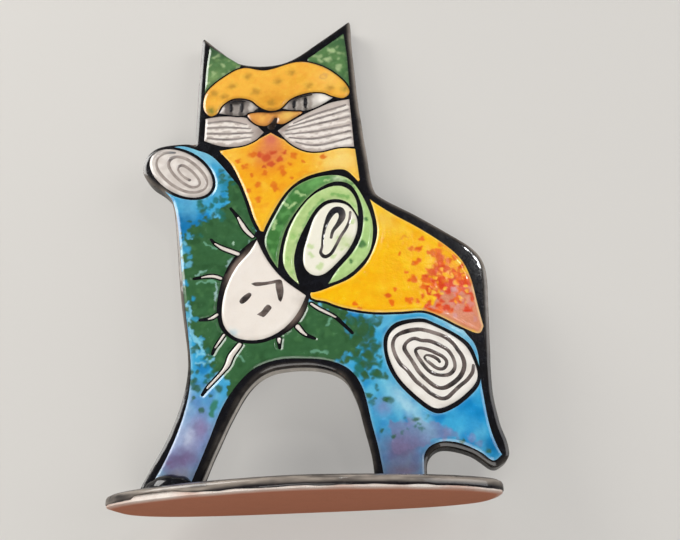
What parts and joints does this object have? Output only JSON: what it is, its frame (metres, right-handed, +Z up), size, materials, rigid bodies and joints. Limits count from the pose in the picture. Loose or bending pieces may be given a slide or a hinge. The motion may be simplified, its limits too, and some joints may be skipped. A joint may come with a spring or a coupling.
{
  "type": "cat figure",
  "caption": "Standing slab-cut clay cat on an oval foot plate, its front painted in pools of coloured gloss glaze between raised black lines.",
  "frame": {"origin": "middle of the foot plate's underside, where it rests; the cat's slab is centred on Y = 0", "axes": "+Z up, +X to the right as seen from the painted front, the painted front faces -Y"},
  "size_m": [0.1227, 0.046, 0.186],
  "materials": {
    "terracotta": "bare fired clay, matt",
    "dark_glaze": "gloss black-brown glaze",
    "black_line": "gloss black glaze line",
    "black_stroke": "gloss black brush stroke",
    "grey_stroke": "soft grey underglaze stroke",
    "brown_stroke": "brown-black underglaze stroke",
    "leaf_green": "mottled leaf-green gloss glaze",
    "pale_green": "pale green gloss glaze",
    "orange_glaze": "orange gloss glaze with olive spots",
    "eye_white": "grey-white gloss glaze",
    "cheek_grey": "warm grey-white gloss glaze",
    "chest_yellow": "yellow-orange gloss glaze with red freckles",
    "rump_yellow": "golden-yellow gloss glaze running to salmon, orange freckles",
    "coat_blue_green": "blue, green and violet mottled gloss glaze",
    "shoulder_white": "warm white gloss glaze",
    "core_white": "cream gloss glaze with pale green dabs",
    "cream_white": "cream white gloss glaze"
  },
  "bodies": {
    "root": {"clay_body": "terracotta", "base_slab": "terracotta", "base_glaze": "dark_glaze", "back_glaze": "dark_glaze", "rim_glaze": "dark_glaze", "line_work": "black_line", "front_foot_slip": "dark_glaze", "hind_foot_slip": "dark_glaze", "ear_left_field": "leaf_green", "ear_right_field": "leaf_green", "brow_field": "orange_glaze", "eye_left_field": "eye_white", "eye_right_field": "eye_white", "pupil_left": "black_stroke", "pupil_right": "black_stroke", "nose_field": "orange_glaze", "nose_spot": "black_stroke", "cheek_left_field": "cheek_grey", "cheek_right_field": "cheek_grey", "whiskers": "grey_stroke", "chest_field": "chest_yellow", "coat_field": "coat_blue_green", "shoulder_disc": "shoulder_white", "shoulder_spiral": "grey_stroke", "haunch_outer_field": "leaf_green", "haunch_ring_field": "pale_green", "haunch_core_field": "core_white", "haunch_swirl": "black_stroke", "rump_field": "rump_yellow", "sun_disc": "cream_white", "sun_rays": "cream_white", "sun_face_marks": "brown_stroke", "hind_disc": "cream_white", "hind_spiral": "brown_stroke"}
  },
  "joints": []
}
